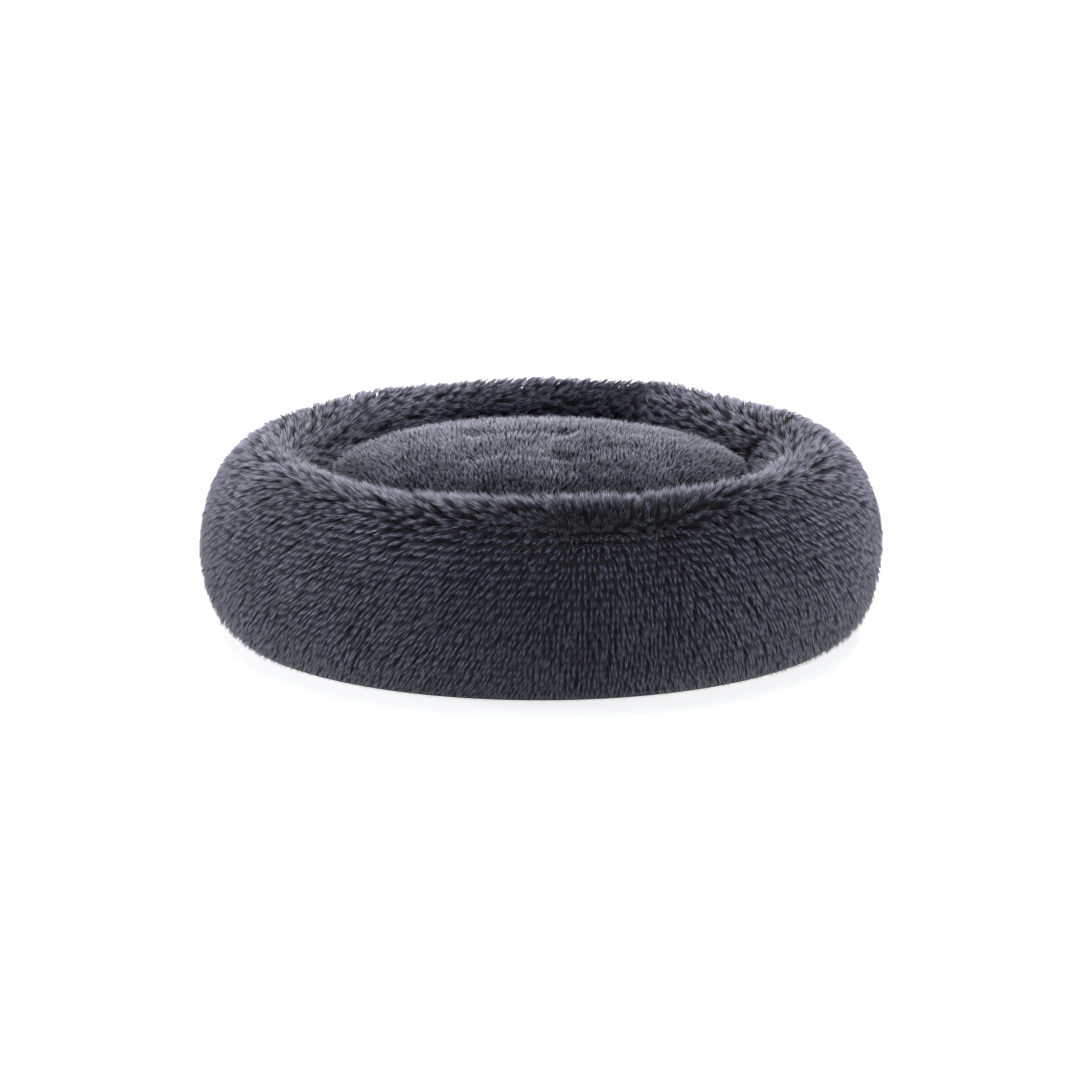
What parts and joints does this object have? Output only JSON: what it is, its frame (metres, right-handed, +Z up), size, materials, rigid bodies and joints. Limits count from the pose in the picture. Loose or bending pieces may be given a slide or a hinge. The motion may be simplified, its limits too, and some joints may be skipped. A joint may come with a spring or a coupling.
{
  "type": "pet cushion bed",
  "caption": "Round bolster pet bed: a shaggy fur-covered doughnut rim on a grip-dot base, with a loose tacked fur cushion inside and a zip in each cover.",
  "frame": {"origin": "middle of the underside, on the floor", "axes": "+Z up; the front of the bed is -Y and the zips are at the back, +Y"},
  "size_m": [0.76, 0.76, 0.213],
  "materials": {
    "long_pile_fur": "long shaggy faux fur, slate grey with paler tips and dark roots",
    "short_pile_fur": "the same faux fur, a little shorter and finer, on the cushion",
    "base_cloth": "plain-woven oxford cloth, dark charcoal, matt",
    "binding_tape": "dark ribbed binding tape, stitched along both edges",
    "grip_dots": "printed silicone dots, satin",
    "liner_cloth": "white non-woven bag cloth",
    "fibre_filling": "white hollow polyester fibre",
    "tie_thread": "thick twisted polyester thread",
    "zip_tape": "dark herringbone zip tape",
    "zip_coil": "dark nylon coil, satin",
    "zip_metal": "dark lacquered zinc, worn at the edges",
    "label_cloth": "white satin label tape, blank"
  },
  "bodies": {
    "rim": {"base_cloth": "base_cloth", "base_binding": "binding_tape", "anti_slip_dots": "grip_dots", "rim_fur_right": "long_pile_fur", "rim_fur_back": "long_pile_fur", "rim_fur_left": "long_pile_fur", "rim_fur_front": "long_pile_fur", "rim_liner_bag": "liner_cloth", "rim_filling": "fibre_filling", "rim_zip_tape_upper": "zip_tape", "rim_zip_tape_lower": "zip_tape", "rim_zip_coil_upper": "zip_coil", "rim_zip_coil_lower": "zip_coil", "rim_zip_stops": "zip_metal", "care_label": "label_cloth"},
    "rim_zip_slider": {"rim_zip_slider": "zip_metal"},
    "rim_zip_pull": {"rim_zip_pull": "zip_metal"},
    "cushion": {"cushion_fur_cover": "short_pile_fur", "cushion_base_cloth": "base_cloth", "cushion_liner_bag": "liner_cloth", "cushion_filling": "fibre_filling", "cushion_tack_ties": "tie_thread", "cushion_zip_tape_upper": "zip_tape", "cushion_zip_tape_lower": "zip_tape", "cushion_zip_coil_upper": "zip_coil", "cushion_zip_coil_lower": "zip_coil", "cushion_zip_stops": "zip_metal"},
    "cushion_zip_slider": {"cushion_zip_slider": "zip_metal"},
    "cushion_zip_pull": {"cushion_zip_pull": "zip_metal"}
  },
  "joints": [
    {"name": "cushion_lift", "type": "slide", "parent": "rim", "child": "cushion", "axis": [0, 0, 1], "range_m": [0, 0.24]},
    {"name": "rim_zip_run", "type": "hinge", "parent": "rim", "child": "rim_zip_slider", "pos_m": [0, 0, 0.01734], "axis": [0, 0, -1], "range_deg": [0, 116.9]},
    {"name": "rim_zip_pull_swing", "type": "hinge", "parent": "rim_zip_slider", "child": "rim_zip_pull", "pos_m": [-0.3004, 0.18428, 0.01734], "axis": [0.5229, 0.8524, 0], "range_deg": [-30, 120]},
    {"name": "cushion_zip_run", "type": "hinge", "parent": "cushion", "child": "cushion_zip_slider", "pos_m": [0, 0, 0.02026], "axis": [0, 0, -1], "range_deg": [0, 114.7]},
    {"name": "cushion_zip_pull_swing", "type": "hinge", "parent": "cushion_zip_slider", "child": "cushion_zip_pull", "pos_m": [-0.17384, 0.11132, 0.02026], "axis": [0.5393, 0.8421, 0], "range_deg": [-12, 100]}
  ]
}
